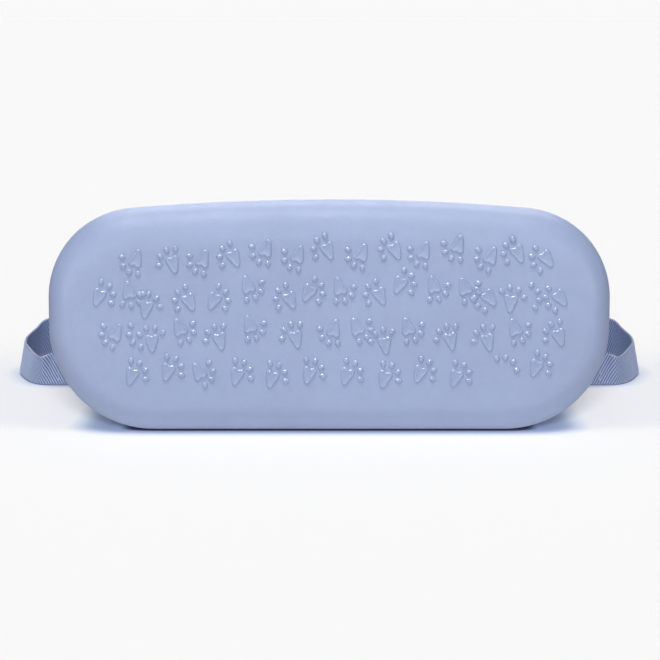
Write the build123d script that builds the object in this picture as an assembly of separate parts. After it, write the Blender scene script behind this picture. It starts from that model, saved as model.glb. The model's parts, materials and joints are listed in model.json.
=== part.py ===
from build123d import *
from math import sqrt
import os

# Paw washer cup, millimetres.
#
# The cup lies on its long flat side, as it is laid down to dry or to be packed.
# X runs along the oblong, Y runs from the patterned base to the mouth, and Z is up.
# The origin is in the middle of the flat resting side, halfway between base and mouth.

# ---------------------------------------------------------------- outer cup
base_width = 205.0
base_height = 85.0
width_taper = 10.0
height_taper = 10.5
cup_depth = 124.0
cup_wall = 3.0
cup_floor = 3.5
base_round = 10.0
base_lower_corner = 38.0
base_upper_corner = 36.0
mouth_lower_corner = 36.0
mouth_upper_corner = 31.0
crown_radius = 840.0
underside_trim = 0.02

# ---------------------------------------------------------------- rim parts
collar_wall = 3.0
collar_skirt = 27.0
collar_flange = 3.0
seating_gap = 0.15
hole_clearance = 0.05
band_width = 6.0
band_thickness = 1.0
band_from_rim = 20.0
seal_width = 2.0
seal_thickness = 1.7
seal_proud = 0.3
seal_from_bore = 1.6

# ---------------------------------------------------------------- bristle liner
liner_clearance = 0.6
liner_wall = 2.0
liner_floor = 2.0
liner_foot_gap = 1.5
liner_flange = 2.5
liner_flange_inset = 1.5
drain_hole_radius = 2.0
drain_holes = 9
drain_hole_pitch = 14.0

pad_thickness = 1.5
pad_half_width = 58.0
pad_margin = 10.0
bristle_radius = 0.9
bristle_length = 8.0
bristle_columns = 13
bristle_rows = 8
bristle_edge = 4.0
floor_pad_half_width = 62.0
floor_pad_height = 30.0
floor_bristle_rows = 4

# ---------------------------------------------------------------- splash guard
plug_clearance = 0.4
plug_wall = 2.0
plug_length = 8.0
guard_plate = 2.5
membrane_thickness = 1.2
membrane_inset = 3.0
retainer_plate = 2.5
opening_length = 128.0
opening_height = 30.0
slit_width = 1.2
slit_length = 7.0
slits_per_side = 9
guard_screw_radius = 1.2
guard_screw_head_radius = 2.2
guard_screw_head = 1.3
guard_screw_end_gap = 0.8
guard_screw_columns = 4
guard_screw_pitch = 40.0

# ---------------------------------------------------------------- carrying loops
webbing_width = 12.5
webbing_thickness = 1.1
webbing_rise = 6.5
rise_start = 45.0
rise_end = 62.0
eye_clearance = 0.05
bar_radius = 1.5
bar_head_radius = 2.3
bar_head = 0.9
bar_beyond_cup = 0.14
bar_from_rim = 9.0
ear_side_gap = 0.2
lower_ear = 1.0
upper_ear = 3.4
ear_radius = 3.4
lug_length = 16.0
lug_reach = 22.0
lug_to_eye = 0.9
floor_gap = 0.2
lug_screw_radius = 1.5
lug_screw_head_radius = 2.6
lug_screw_head = 1.6
lug_screw_pitch = 9.0
lug_screw_height = 8.0
lug_screw_tip_gap = 0.3
stitch_length = 1.6
stitch_width = 0.5
stitch_proud = 0.25
stitches_per_row = 4
stitch_rows = 3
stitch_row_pitch = 3.0
stitch_from_bar = 6.5

# Corners of the strap's path around the loop, from the bar: outward, depth, bend radius.
loop_path = (
    (20.0, 0.0, 10.0),
    (32.0, 22.0, 18.0),
    (32.0, 46.0, 8.0),
    (22.0, 64.0, 7.0),
    (8.0, 57.0, 10.0),
)

# ---------------------------------------------------------------- paw prints on the base
print_height = 0.45
pad_print_width = 5.2
pad_print_length = 7.0
pad_print_corner = 0.9
pad_lean = 0.35
toe_width = 2.4
toe_length = 2.9
toe_reach = 5.1
toe_angles = (-55.0, -18.0, 18.0, 55.0)

# Each print: place across, height, which way the pad's point lies ("U", "D", or "." for
# toes alone), and the way its toes point, in degrees.
print_rows = (
    ((-69.4, 63.0, "U", 223), (-56.1, 61.9, "D", 134), (-45.3, 63.0, "U", 218),
     (-34.2, 64.1, "D", 161), (-22.7, 66.7, "U", 223), (-11.2, 64.5, "U", 217),
     (-0.5, 66.7, "D", 157), (11.7, 65.2, "U", 218), (23.6, 66.7, "D", 161),
     (34.0, 65.9, "U", 222), (46.2, 68.1, "U", 225), (58.0, 64.1, "U", 206),
     (67.7, 65.6, "D", 166), (77.8, 63.8, "D", 192)),
    ((-82.8, 50.0, "D", 25), (-72.0, 51.5, "U", 297), (-65.9, 45.7, "D", 61),
     (-50.4, 48.2, "D", 160), (-41.4, 48.6, "D", 16), (-29.2, 53.6, "U", 320),
     (-14.1, 48.9, "D", 162), (-7.3, 51.5, "D", 10), (3.8, 52.9, "U", 310),
     (18.2, 50.4, "D", 162), (25.4, 54.4, "D", 17), (37.6, 53.6, "U", 309),
     (48.8, 52.9, "U", 324), (57.4, 49.6, "D", 200), (65.3, 47.8, "D", 75),
     (70.5, 49.3, ".", 10), (82.9, 49.6, "D", 198)),
    ((-76.9, 36.3, "U", 202), (-67.0, 36.6, ".", 205), (-63.9, 33.4, "D", 95),
     (-53.8, 38.1, "U", 328), (-39.4, 34.1, "D", 130), (-28.6, 39.2, "U", 316),
     (-12.0, 34.8, "D", 128), (1.7, 37.7, "U", 231), (10.0, 38.4, "U", 335),
     (20.1, 32.6, "D", 115), (28.4, 38.4, "U", 319), (43.8, 34.1, "D", 125),
     (57.2, 33.7, "D", 127), (66.9, 38.1, "U", 321), (82.8, 35.5, "D", 142)),
    ((-71.2, 21.3, "D", 38), (-58.2, 22.8, "D", 38), (-47.0, 22.1, "U", 350),
     (-33.3, 21.3, "D", 42), (-20.7, 20.3, "D", 42), (-7.3, 21.7, "D", 46),
     (6.4, 21.3, "D", 37), (20.1, 20.3, "D", 42), (32.7, 22.1, "D", 29),
     (45.7, 20.6, "D", 37), (62.6, 22.6, ".", 60), (74.6, 24.2, "D", 30)),
)

# ---------------------------------------------------------------- worked-out places
base_y = -cup_depth / 2
rim_y = cup_depth / 2
mouth_width = base_width - width_taper
mouth_height = base_height - height_taper
collar_top = rim_y + collar_flange
liner_seat = collar_top + seal_proud
liner_top = liner_seat + liner_flange
guard_top = liner_top + guard_plate
membrane_top = guard_top + membrane_thickness
retainer_top = membrane_top + retainer_plate
bore_inset = cup_wall + collar_wall
liner_inset = bore_inset + liner_clearance
liner_bore_inset = liner_inset + liner_wall
plug_inset = liner_bore_inset + plug_clearance
guard_bore_inset = plug_inset + plug_wall
mouth_middle = mouth_height / 2
liner_start = base_y + cup_floor + liner_foot_gap
bar_y = rim_y - bar_from_rim
cup_end_at_bar = (base_width - width_taper * (bar_y - base_y) / cup_depth) / 2
bar_out = round(cup_end_at_bar + bar_beyond_cup, 2)
lug_inner = bar_out - lug_reach
webbing_low = floor_gap + lower_ear + ear_side_gap
webbing_high = webbing_low + webbing_width
ear_top = webbing_high + ear_side_gap + upper_ear
eye_radius = bar_radius + eye_clearance + webbing_thickness
lug_face = bar_out - eye_radius - lug_to_eye


def outline(width, height, inset, lower_corner, upper_corner):
    """Oblong cross-section with a flat underside, round ends and a gently arched top.

    The underside is drawn a trim lower than it ends up, so that it can be cut truly flat.
    """
    end = width / 2 - inset
    low = inset - underside_trim
    lower = lower_corner - inset
    upper = upper_corner - inset
    crown = crown_radius - inset
    crown_z = height - crown_radius
    lower_x = end - lower
    upper_x = end - upper
    upper_z = crown_z + sqrt((crown - upper) ** 2 - upper_x ** 2)
    reach = crown / (crown - upper)
    meet_x = upper_x * reach
    meet_z = crown_z + (upper_z - crown_z) * reach
    diagonal = sqrt(0.5)
    with BuildSketch() as section:
        with BuildLine():
            Line((-lower_x, low), (lower_x, low))
            for side in (1, -1):
                lower_middle = (side * (lower_x + lower * diagonal), low + lower * (1 - diagonal))
                upper_middle = (side * (upper_x + upper * diagonal), upper_z + upper * diagonal)
                ThreePointArc((side * lower_x, low), lower_middle, (side * end, low + lower))
                Line((side * end, low + lower), (side * end, upper_z))
                ThreePointArc((side * end, upper_z), upper_middle, (side * meet_x, meet_z))
            ThreePointArc((meet_x, meet_z), (0, crown_z + crown), (-meet_x, meet_z))
        make_face()
    return section.sketch


def across(y):
    """Plane that faces the base, at the given depth."""
    return Plane((0, y, 0), x_dir=(1, 0, 0), z_dir=(0, -1, 0))


def base_section(inset):
    return across(base_y) * outline(base_width, base_height, inset, base_lower_corner, base_upper_corner)


def mouth_outline(inset):
    return outline(mouth_width, mouth_height, inset, mouth_lower_corner, mouth_upper_corner)


def cup_loft(inset):
    """The tapering body of the cup, drawn in from its outer face by the inset."""
    return loft([base_section(inset).face(), (across(rim_y) * mouth_outline(inset)).face()])


def flat_under(form, inset):
    """Cuts the underside flat at the inset's height."""
    above = block((-base_width, base_width), (-cup_depth, cup_depth), (inset, 2 * base_height))
    return form & above


def cup_form(inset):
    return flat_under(cup_loft(inset), inset)


def mouth_prism(inset, start, stop):
    """Straight block of the mouth's outline, drawn in by the inset, between two depths."""
    form = extrude(across(start) * mouth_outline(inset), amount=stop - start, dir=(0, 1, 0))
    return flat_under(form, inset)


def block(x, y, z):
    """Box between pairs of limits."""
    size = (x[1] - x[0], y[1] - y[0], z[1] - z[0])
    middle = ((x[0] + x[1]) / 2, (y[0] + y[1]) / 2, (z[0] + z[1]) / 2)
    return Pos(*middle) * Box(*size)


def slab(start, stop):
    """Everything between two depths."""
    return block((-base_width, base_width), (start, stop), (-base_height, 2 * base_height))


def rod(radius, start, length, axis):
    """Round bar from a start point along an axis."""
    return extrude(Plane(start, z_dir=axis) * Circle(radius), amount=length)


def both_sides(name, right_part):
    """The right-hand piece and its mirror image."""
    return {"right_" + name: right_part, "left_" + name: mirror(right_part, about=Plane.YZ)}


# ---------------------------------------------------------------- cup, collar, band, seal
def rim_band():
    start = rim_y - band_from_rim - band_width
    return (cup_form(0) & slab(start, start + band_width)) - cup_form(band_thickness)


def cup_cavity():
    cavity = cup_loft(cup_wall) & slab(base_y + cup_floor, cup_depth)
    floor_edges = cavity.faces().sort_by(Axis.Y)[0].edges()
    return flat_under(fillet(floor_edges, base_round - cup_wall), cup_wall)


def cup_shell(band):
    body = cup_loft(0)
    body = fillet(body.faces().sort_by(Axis.Y)[0].edges(), base_round)
    return flat_under(body, 0) - cup_cavity() - band


def seal_ring(clearance=0.0):
    """The seal, or with a clearance the groove that it lies in."""
    stop = collar_top + seal_proud
    start = stop - seal_thickness
    outer = bore_inset - seal_from_bore - seal_width - clearance
    inner = bore_inset - seal_from_bore + clearance
    return mouth_prism(outer, start, stop) - mouth_prism(inner, start, stop)


def rim_collar():
    skirt = cup_form(cup_wall + seating_gap) & slab(rim_y - collar_skirt, rim_y)
    collar = skirt + mouth_prism(0, rim_y, collar_top)
    collar -= mouth_prism(bore_inset, rim_y - collar_skirt - 1, collar_top + 1)
    return collar - seal_ring(hole_clearance)


# ---------------------------------------------------------------- liner and bristles
def liner_sleeve():
    sleeve = mouth_prism(liner_inset, liner_start, liner_top)
    sleeve += mouth_prism(liner_flange_inset, liner_seat, liner_top)
    sleeve -= mouth_prism(liner_bore_inset, liner_start + liner_floor, liner_top + 1)
    for place in range(drain_holes):
        x = (place - (drain_holes - 1) / 2) * drain_hole_pitch
        for z in (mouth_middle - floor_pad_height / 2 - 5, mouth_middle + floor_pad_height / 2 + 5):
            sleeve -= rod(drain_hole_radius, (x, liner_start - 1, z), liner_floor + 2, (0, 1, 0))
    return sleeve


def spaced(count, span):
    """Evenly spaced places, centred on zero."""
    return [(place / (count - 1) - 0.5) * span for place in range(count)]


def side_pad(upper):
    """Bristle pad on the upper or the lower long wall of the liner."""
    start = liner_start + liner_floor + pad_margin
    stop = liner_seat - plug_length - pad_margin / 2
    half = (mouth_middle, mouth_height) if upper else (0, mouth_middle)
    backing = mouth_prism(liner_bore_inset + seating_gap, start, stop) - mouth_prism(
        liner_bore_inset + pad_thickness, start, stop)
    pad = backing & block((-pad_half_width, pad_half_width), (start, stop), half)
    inner = crown_radius - liner_bore_inset - pad_thickness
    middle_y = (start + stop) / 2
    for x in spaced(bristle_columns, 2 * (pad_half_width - bristle_edge)):
        for y in spaced(bristle_rows, stop - start - 2 * bristle_edge):
            if upper:
                root = mouth_height - crown_radius + sqrt(inner ** 2 - x ** 2)
                pad += rod(bristle_radius, (x, middle_y + y, root + 0.5),
                           bristle_length + 0.5, (0, 0, -1))
            else:
                root = liner_bore_inset + pad_thickness
                pad += rod(bristle_radius, (x, middle_y + y, root - 0.5),
                           bristle_length + 0.5, (0, 0, 1))
    return pad


def floor_pad():
    start = liner_start + liner_floor
    reach = floor_pad_height / 2
    pad = block((-floor_pad_half_width, floor_pad_half_width), (start, start + pad_thickness),
                (mouth_middle - reach, mouth_middle + reach))
    for x in spaced(bristle_columns, 2 * (floor_pad_half_width - bristle_edge)):
        for z in spaced(floor_bristle_rows, floor_pad_height - 2 * bristle_edge):
            pad += rod(bristle_radius, (x, start + pad_thickness - 0.5, mouth_middle + z),
                       bristle_length + 0.5, (0, 1, 0))
    return pad


# ---------------------------------------------------------------- splash guard
def guard_screw_places():
    """Screws along both long sides, halfway across the clamped edge, and one at each end."""
    inset = (membrane_inset + guard_bore_inset) / 2
    places = []
    for x in spaced(guard_screw_columns, (guard_screw_columns - 1) * guard_screw_pitch):
        crown_drop = crown_radius - sqrt(crown_radius ** 2 - x ** 2)
        places += [(x, inset), (x, mouth_height - inset - crown_drop)]
    end = mouth_width / 2 - inset
    return places + [(end, mouth_middle), (-end, mouth_middle)]


def guard_screws(clearance=0.0):
    """The guard's screws, or with a clearance the holes that they sit in."""
    tip = liner_top + guard_screw_end_gap
    head_start = retainer_top - guard_screw_head
    screws = []
    for x, z in guard_screw_places():
        shank = rod(guard_screw_radius + clearance, (x, tip, z), head_start - tip, (0, 1, 0))
        screws.append(shank + rod(guard_screw_head_radius + clearance, (x, head_start, z),
                                  guard_screw_head, (0, 1, 0)))
    return screws


def guard_membrane():
    sheet = mouth_prism(membrane_inset, guard_top, membrane_top)
    hole = SlotOverall(opening_length, opening_height)
    straight = opening_length - opening_height
    for x in spaced(slits_per_side, straight):
        hole += Pos(x, 0) * Rectangle(slit_width, opening_height + 2 * slit_length)
    for end in (1, -1):
        for turn in (-45, 0, 45):
            slit = Pos(opening_height / 2 + slit_length / 2, 0) * Rectangle(
                slit_length * 2, slit_width)
            hole += Pos(end * straight / 2, 0) * Rot(0, 0, turn + (0 if end > 0 else 180)) * slit
    cut = across(guard_top - 1) * Pos(0, mouth_middle) * hole
    return sheet - extrude(cut, amount=membrane_thickness + 2, dir=(0, 1, 0))


def guard_frame():
    frame = mouth_prism(liner_flange_inset, liner_top, guard_top)
    frame += mouth_prism(plug_inset, liner_top - plug_length, guard_top)
    return frame - mouth_prism(guard_bore_inset, liner_top - plug_length - 1, guard_top + 1)


def guard_retainer():
    ring = mouth_prism(liner_flange_inset, guard_top, retainer_top)
    ring -= mouth_prism(guard_bore_inset, guard_top - 1, retainer_top + 1)
    return ring - mouth_prism(membrane_inset, guard_top - 1, membrane_top)


# ---------------------------------------------------------------- carrying loops
def loop_webbing():
    """One strap on edge around the loop, its eye on the bar, its far side lifted."""
    corners = [(out, depth) for out, depth, bend in loop_path]
    bends = [bend for out, depth, bend in loop_path]
    route = FilletPolyline((0, 0), *corners, (0, bar_radius / 2), radius=bends)
    strip = trace(route, webbing_thickness)
    strip += Circle(eye_radius)
    strip -= Circle(bar_radius + eye_clearance)
    tall = Pos(bar_out, bar_y, floor_gap) * extrude(strip, amount=ear_top + webbing_rise)
    start = bar_y - webbing_width
    flat_end = bar_y + rise_start
    stop = bar_y + rise_end + webbing_width
    top = webbing_high + webbing_rise * (stop - flat_end) / (rise_end - rise_start)
    lift = top - webbing_high
    with BuildSketch(Plane.YZ) as side:
        Polygon((start, webbing_low), (flat_end, webbing_low), (stop, webbing_low + lift),
                (stop, top), (flat_end, webbing_high), (start, webbing_high), align=None)
    return tall & extrude(side.sketch, amount=2 * base_width)


def loop_stitching():
    """Rows of thread across the strap, where its end is sewn down beside the eye."""
    face = bar_y - webbing_thickness / 2
    threads = []
    for row in range(stitch_rows):
        x = bar_out + stitch_from_bar + row * stitch_row_pitch
        for z in spaced(stitches_per_row, webbing_width - 2.5 * stitch_length):
            middle = webbing_low + webbing_width / 2 + z
            threads.append(block((x - stitch_width / 2, x + stitch_width / 2),
                                 (face - stitch_proud, face),
                                 (middle - stitch_length / 2, middle + stitch_length / 2)))
    return threads


def anchor_bar():
    bar = rod(bar_radius, (bar_out, bar_y, floor_gap), ear_top - floor_gap, (0, 0, 1))
    return bar + rod(bar_head_radius, (bar_out, bar_y, ear_top), bar_head, (0, 0, 1))


def lug_screw_places():
    return [bar_y + side * lug_screw_pitch / 2 for side in (-1, 1)]


def lug_screw(y, clearance=0.0):
    """Screw through the lug and the soft wall into the collar, or with a clearance its hole."""
    depth_share = (y - base_y) / cup_depth
    end = (base_width + (mouth_width - base_width) * depth_share) / 2
    corner = base_lower_corner + (mouth_lower_corner - base_lower_corner) * depth_share
    bore = corner - bore_inset
    above = corner - lug_screw_height - lug_screw_radius
    tip = end - corner + sqrt(bore ** 2 - above ** 2) + lug_screw_tip_gap
    head_start = lug_face - lug_screw_head
    shank = rod(lug_screw_radius + clearance, (tip, y, lug_screw_height),
                head_start - tip, (1, 0, 0))
    return shank + rod(lug_screw_head_radius + clearance, (head_start, y, lug_screw_height),
                       lug_screw_head, (1, 0, 0))


def anchor_lug():
    """Block under the cup's rounded corner, with an ear above and below the strap."""
    half = lug_length / 2
    saddle = block((lug_inner, lug_face), (bar_y - half, bar_y + half), (floor_gap, ear_top))
    lug = saddle - cup_form(-seating_gap)
    for low, high in ((floor_gap, floor_gap + lower_ear), (webbing_high + ear_side_gap, ear_top)):
        ear = block((lug_face - 1, bar_out), (bar_y - ear_radius, bar_y + ear_radius), (low, high))
        ear += rod(ear_radius, (bar_out, bar_y, low), high - low, (0, 0, 1))
        lug += ear
    lug -= rod(bar_radius, (bar_out, bar_y, 0), ear_top + 1, (0, 0, 1))
    for y in lug_screw_places():
        lug -= lug_screw(y, hole_clearance)
    return lug


# ---------------------------------------------------------------- paw prints
def pad_print():
    """Heel of a paw: a rounded triangle whose wide side lies along the sketch's +Y."""
    half = pad_print_width / 2
    wide = pad_print_length * 0.4
    point = wide - pad_print_length
    shape = Polygon((-half, wide), (half, wide), (0, point), align=None)
    return fillet(shape.vertices(), pad_print_corner)


def raise_print(across_base, height, turn, shape):
    """Raises a flat shape from the base, turned so that its +Y points the given way."""
    spot = across(base_y) * Pos(across_base, height) * Rot(0, 0, turn - 90)
    return extrude(spot * shape, amount=print_height, dir=(0, -1, 0))


def paw_print_relief():
    raised = []
    pad = pad_print()
    toe = Ellipse(toe_width / 2, toe_length / 2)
    for row in print_rows:
        for x, z, kind, toes_way in row:
            if kind != ".":
                wide_way = 90 if kind == "D" else 270
                lean = ((toes_way - wide_way + 180) % 360 - 180) * pad_lean
                raised.append(raise_print(x, z, wide_way + lean, pad))
            for angle in toe_angles:
                raised.append(raise_print(x, z, toes_way + angle, Pos(0, toe_reach) * toe))
    return raised


# ---------------------------------------------------------------- build
def group(pieces):
    """Several separate solids that share one node."""
    return Compound(children=[solid for piece in pieces for solid in piece.solids()])


def build():
    band = rim_band()
    shell = cup_shell(band)
    collar = rim_collar()
    for y in lug_screw_places():
        hole = lug_screw(y, hole_clearance)
        for fitted in (hole, mirror(hole, about=Plane.YZ)):
            shell -= fitted
            collar -= fitted
    frame = guard_frame()
    membrane = guard_membrane()
    retainer = guard_retainer()
    for hole in guard_screws(hole_clearance):
        frame -= hole
        membrane -= hole
        retainer -= hole
    parts = {
        "cup_shell": shell,
        "paw_print_relief": group(paw_print_relief()),
        "rim_collar": collar,
        "rim_band": band,
        "rim_seal": seal_ring(),
        "liner_sleeve": liner_sleeve(),
        "bristle_pad_upper": side_pad(True),
        "bristle_pad_lower": side_pad(False),
        "bristle_pad_floor": floor_pad(),
        "guard_frame": frame,
        "guard_membrane": membrane,
        "guard_retainer": retainer,
        "guard_screws": group(guard_screws()),
    }
    parts.update(both_sides("loop_webbing", loop_webbing()))
    parts.update(both_sides("loop_stitching", group(loop_stitching())))
    parts.update(both_sides("anchor_bar", anchor_bar()))
    parts.update(both_sides("anchor_lug", anchor_lug()))
    parts.update(both_sides("anchor_screws", group([lug_screw(y) for y in lug_screw_places()])))
    return parts


os.makedirs("parts", exist_ok=True)
for name, shape in build().items():
    export_step(shape, "parts/" + name + ".step")
    print(name, len(shape.solids()), round(shape.volume, 1))
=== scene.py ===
import json
import math
import random

import bmesh
import bpy
from mathutils import Matrix, Vector, noise

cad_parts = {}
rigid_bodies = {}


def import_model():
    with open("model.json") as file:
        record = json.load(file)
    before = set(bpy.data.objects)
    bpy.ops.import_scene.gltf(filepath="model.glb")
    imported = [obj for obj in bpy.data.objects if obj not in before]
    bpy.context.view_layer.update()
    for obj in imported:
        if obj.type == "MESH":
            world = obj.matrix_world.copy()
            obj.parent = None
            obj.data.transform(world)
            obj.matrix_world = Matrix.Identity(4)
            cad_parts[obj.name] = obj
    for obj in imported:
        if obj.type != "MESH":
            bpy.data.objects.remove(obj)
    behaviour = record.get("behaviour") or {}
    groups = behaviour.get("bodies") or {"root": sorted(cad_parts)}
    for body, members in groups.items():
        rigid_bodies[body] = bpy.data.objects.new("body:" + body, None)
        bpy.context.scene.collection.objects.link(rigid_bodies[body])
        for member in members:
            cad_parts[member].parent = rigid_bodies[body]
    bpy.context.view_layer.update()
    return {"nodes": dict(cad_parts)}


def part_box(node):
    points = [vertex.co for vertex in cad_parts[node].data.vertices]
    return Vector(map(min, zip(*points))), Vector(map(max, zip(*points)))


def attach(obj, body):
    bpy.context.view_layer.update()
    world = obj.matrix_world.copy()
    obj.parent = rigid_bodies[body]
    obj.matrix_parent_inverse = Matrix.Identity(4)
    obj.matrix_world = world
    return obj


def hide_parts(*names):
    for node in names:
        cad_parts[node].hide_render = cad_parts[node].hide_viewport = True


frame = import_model()

MM = 0.001

# ------------------------------------------------------------------ sizes, in millimetres
BASE_WIDTH, BASE_HEIGHT = 205.0, 85.0
MOUTH_WIDTH, MOUTH_HEIGHT = 195.0, 74.5
BASE_LOWER_CORNER, BASE_UPPER_CORNER = 38.0, 33.0
MOUTH_LOWER_CORNER, MOUTH_UPPER_CORNER = 36.0, 31.0
CROWN_RADIUS = 840.0
CUP_WALL, CUP_FLOOR = 3.0, 3.5
EDGE_ROUND = 10.0
TOP_EDGE_ROUND = 16.5
EDGE_DEPTH = 11.0

shell_low, shell_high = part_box("cup_shell")
BASE_Y = shell_low.y / MM
RIM_Y = shell_high.y / MM
CUP_DEPTH = RIM_Y - BASE_Y
MOUTH_MIDDLE = MOUTH_HEIGHT / 2


# ------------------------------------------------------------------ small helpers
def finish_mesh(bm, name, material, body, smooth=True, turn_out=False):
    """Makes a piece of the mesh, in metres, that rides on a body."""
    if turn_out:
        bmesh.ops.recalc_face_normals(bm, faces=bm.faces)
    bmesh.ops.scale(bm, vec=(MM, MM, MM), verts=bm.verts)
    mesh = bpy.data.meshes.new(name)
    bm.to_mesh(mesh)
    bm.free()
    for polygon in mesh.polygons:
        polygon.use_smooth = smooth
    piece = bpy.data.objects.new(name, mesh)
    bpy.context.scene.collection.objects.link(piece)
    mesh.materials.append(material)
    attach(piece, body)
    return piece


def arc(centre, radius, start, stop, steps):
    """Points along an arc, from just after its start to its stop, in degrees."""
    points = []
    for step in range(1, steps + 1):
        angle = math.radians(start + (stop - start) * step / steps)
        points.append((centre[0] + radius * math.cos(angle), centre[1] + radius * math.sin(angle)))
    return points


def run(start, stop, steps):
    """Points along a straight line, from just after its start to its stop."""
    return [(start[0] + (stop[0] - start[0]) * step / steps,
             start[1] + (stop[1] - start[1]) * step / steps) for step in range(1, steps + 1)]


def outline(width, height, inset, lower_corner, upper_corner, top_inset=None, fine=1):
    """Closed oblong cross-section: flat underside, round ends, gently arched top."""
    top_inset = inset if top_inset is None else top_inset
    end = width / 2 - inset
    low = inset
    lower = max(lower_corner - inset, 0.5)
    upper = max(upper_corner - inset, 0.5)
    crown = CROWN_RADIUS - top_inset
    crown_z = height - CROWN_RADIUS
    lower_x = end - lower
    upper_x = end - upper
    upper_z = crown_z + math.sqrt((crown - upper) ** 2 - upper_x ** 2)
    tilt = math.degrees(math.asin(upper_x / (crown - upper)))
    corner_steps, side_steps, long_steps = 14 * fine, 2 * fine, 12 * fine
    points = run((0, low), (lower_x, low), long_steps // 2)
    points += arc((lower_x, low + lower), lower, -90, 0, corner_steps)
    points += run((end, low + lower), (end, upper_z), side_steps)
    points += arc((upper_x, upper_z), upper, 0, 90 - tilt, corner_steps)
    points += arc((0, crown_z), crown, 90 - tilt, 90 + tilt, 2 * long_steps)
    points += arc((-upper_x, upper_z), upper, 90 + tilt, 180, corner_steps)
    points += run((-end, upper_z), (-end, low + lower), side_steps)
    points += arc((-lower_x, low + lower), lower, 180, 270, corner_steps)
    points += run((-lower_x, low), (0, low), long_steps // 2)
    return points


def section(y, inset, fine=1):
    """The cup's cross-section at a depth, drawn in by the inset."""
    share = min(max((y - BASE_Y) / CUP_DEPTH, 0.0), 1.0)

    def between(base, mouth):
        return base + (mouth - base) * share

    return outline(between(BASE_WIDTH, MOUTH_WIDTH), between(BASE_HEIGHT, MOUTH_HEIGHT), inset,
                   between(BASE_LOWER_CORNER, MOUTH_LOWER_CORNER),
                   between(BASE_UPPER_CORNER, MOUTH_UPPER_CORNER), fine=fine)


def mouth(inset, fine=1):
    return outline(MOUTH_WIDTH, MOUTH_HEIGHT, inset, MOUTH_LOWER_CORNER, MOUTH_UPPER_CORNER,
                   fine=fine)


def add_ring(bm, points, y):
    """The corners of a closed loop across the cup, at a depth."""
    return [bm.verts.new((x, y, z)) for x, z in points]


def bridge(bm, rings, closed=False):
    """Skins the rings in their order, corner to corner, also where two lie in one plane."""
    pairs = list(zip(rings, rings[1:]))
    if closed:
        pairs.append((rings[-1], rings[0]))
    for first, second in pairs:
        for i in range(len(first)):
            j = (i + 1) % len(first)
            bm.faces.new((first[i], first[j], second[j], second[i]))


def ring_edges(bm, ring):
    return [bm.edges.get((ring[i - 1], ring[i])) for i in range(len(ring))]


def spaced(count, span):
    return [(place / (count - 1) - 0.5) * span for place in range(count)]


def rounded(corners, radius, steps=3):
    """A closed profile with each of its corners rounded."""
    out = []
    count = len(corners)
    for i in range(count):
        here = Vector(corners[i])
        before = Vector(corners[i - 1]) - here
        after = Vector(corners[(i + 1) % count]) - here
        reach = min(radius, before.length * 0.45, after.length * 0.45)
        start = here + before.normalized() * reach
        stop = here + after.normalized() * reach
        for step in range(steps + 1):
            t = step / steps
            out.append(tuple((1 - t) ** 2 * start + 2 * t * (1 - t) * here + t ** 2 * stop))
    return out


def mouth_ring(name, profile, material, body):
    """A ring around the mouth whose cross-section is given as (inset, depth) points."""
    bm = bmesh.new()
    rings = [add_ring(bm, mouth(inset), y) for inset, y in profile]
    bridge(bm, rings, closed=True)
    return finish_mesh(bm, name, material, body, turn_out=True)


# ------------------------------------------------------------------ material building blocks
def linear(red, green, blue):
    """A colour given in display values from 0 to 255."""
    out = []
    for value in (red, green, blue):
        share = value / 255
        out.append(share / 12.92 if share <= 0.04045 else ((share + 0.055) / 1.055) ** 2.4)
    return (*out, 1.0)


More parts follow.
